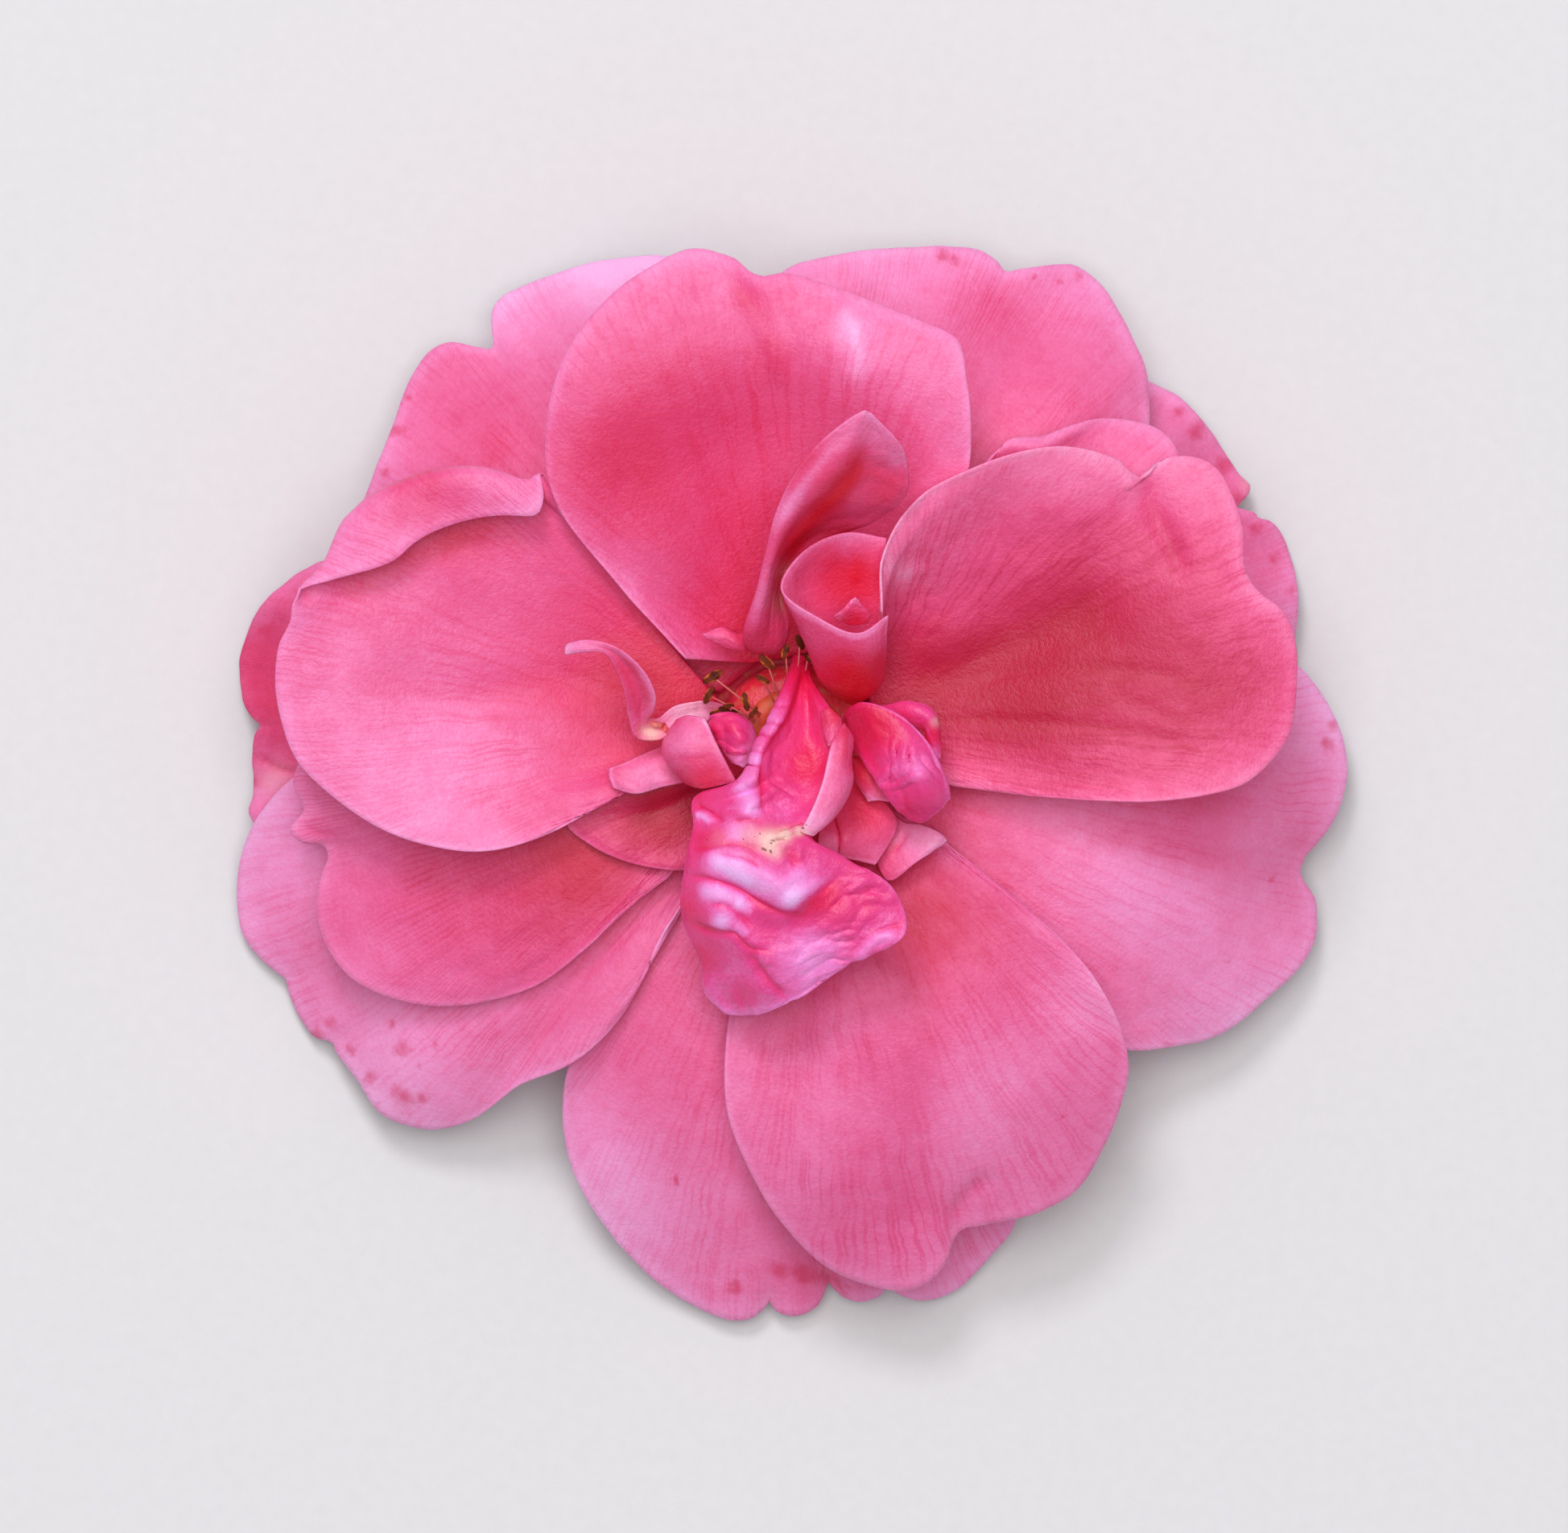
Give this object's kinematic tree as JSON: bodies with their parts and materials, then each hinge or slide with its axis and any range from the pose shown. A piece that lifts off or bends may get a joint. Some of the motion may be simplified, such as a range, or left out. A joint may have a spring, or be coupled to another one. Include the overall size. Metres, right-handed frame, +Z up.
{
  "type": "rose bloom",
  "caption": "Wide-open pink garden rose bloom, picked under its hip: broad petals in layers, curled inner petals, stamens and calyx, lying face up on a flat surface.",
  "frame": {"origin": "on the surface that the bloom lies on, under the middle of its outline", "axes": "+Z up out of the bloom's face, +Y towards the top of the picture, +X to its right"},
  "size_m": [0.0852, 0.0824, 0.0297],
  "materials": {
    "broad_petal": "matte, velvety",
    "inner_petal": "satin",
    "calyx": "satin",
    "stamen": "matte",
    "style": "matte"
  },
  "bodies": {
    "root": {"guard_petal_left": "broad_petal", "guard_petal_upper_left": "broad_petal", "guard_petal_right": "broad_petal", "guard_petal_bottom": "broad_petal", "guard_petal_lower_right": "broad_petal", "guard_petal_top": "broad_petal", "guard_petal_lower_left": "broad_petal", "middle_petal_upper_right": "broad_petal", "middle_petal_left": "broad_petal", "middle_petal_bottom": "broad_petal", "front_petal_small": "broad_petal", "front_petal_left": "broad_petal", "front_petal_top": "broad_petal", "front_petal_right": "broad_petal", "inner_petal_hood": "inner_petal", "inner_petal_fringe": "inner_petal", "inner_petal_cornet": "inner_petal", "inner_petal_heart": "inner_petal", "inner_petal_strap": "inner_petal", "inner_petal_tongue": "inner_petal", "inner_petal_roll": "inner_petal", "inner_petal_dome": "inner_petal", "inner_petal_centre": "inner_petal", "inner_petal_ear": "inner_petal", "inner_petal_curl": "inner_petal", "inner_petal_side": "inner_petal", "inner_petal_fold": "inner_petal", "inner_petal_corner": "inner_petal", "hip": "calyx", "sepal_1": "calyx", "sepal_2": "calyx", "sepal_3": "calyx", "sepal_4": "calyx", "sepal_5": "calyx", "stamens": "stamen", "pistil": "style"}
  },
  "joints": []
}
